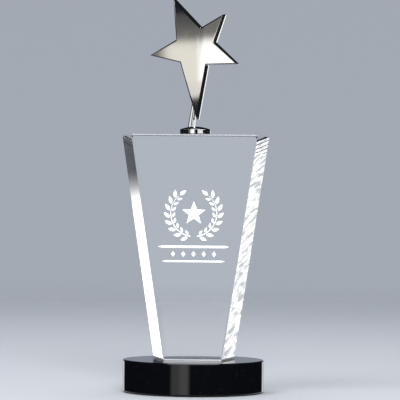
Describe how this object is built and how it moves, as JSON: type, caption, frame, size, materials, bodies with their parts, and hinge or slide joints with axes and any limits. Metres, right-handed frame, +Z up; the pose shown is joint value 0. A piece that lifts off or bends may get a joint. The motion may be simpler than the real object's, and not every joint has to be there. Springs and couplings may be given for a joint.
{
  "type": "star trophy",
  "caption": "Tapered clear crystal block on a round black glass base, topped by a chrome star on a leaning post and a domed disc.",
  "frame": {"origin": "middle of the underside of the felt pad, on the surface that the trophy stands on", "axes": "+Z up; -Y is the side that the block's narrow engraved face looks to; +X is to the right when facing that side"},
  "size_m": [0.105, 0.1, 0.2787],
  "materials": {
    "felt": "black felt with a short nap",
    "black_glass": "polished black optical glass",
    "crystal": "clear optical crystal, polished, with a frosted engraving",
    "adhesive": "clear cured adhesive",
    "chrome": "mirror-bright chrome plating on turned brass",
    "star_metal": "chrome plating on a zinc casting, satin-bright face and mirror-bright edges",
    "steel": "zinc-plated steel"
  },
  "bodies": {
    "root": {"felt_pad": "felt", "base_disc": "black_glass", "base_bond": "adhesive", "crystal_block": "crystal", "disc_bond": "adhesive", "mount_disc": "chrome", "star_post": "chrome", "post_screw": "steel", "lock_washer": "steel", "star_figure": "star_metal", "grub_screw": "steel"}
  },
  "joints": []
}
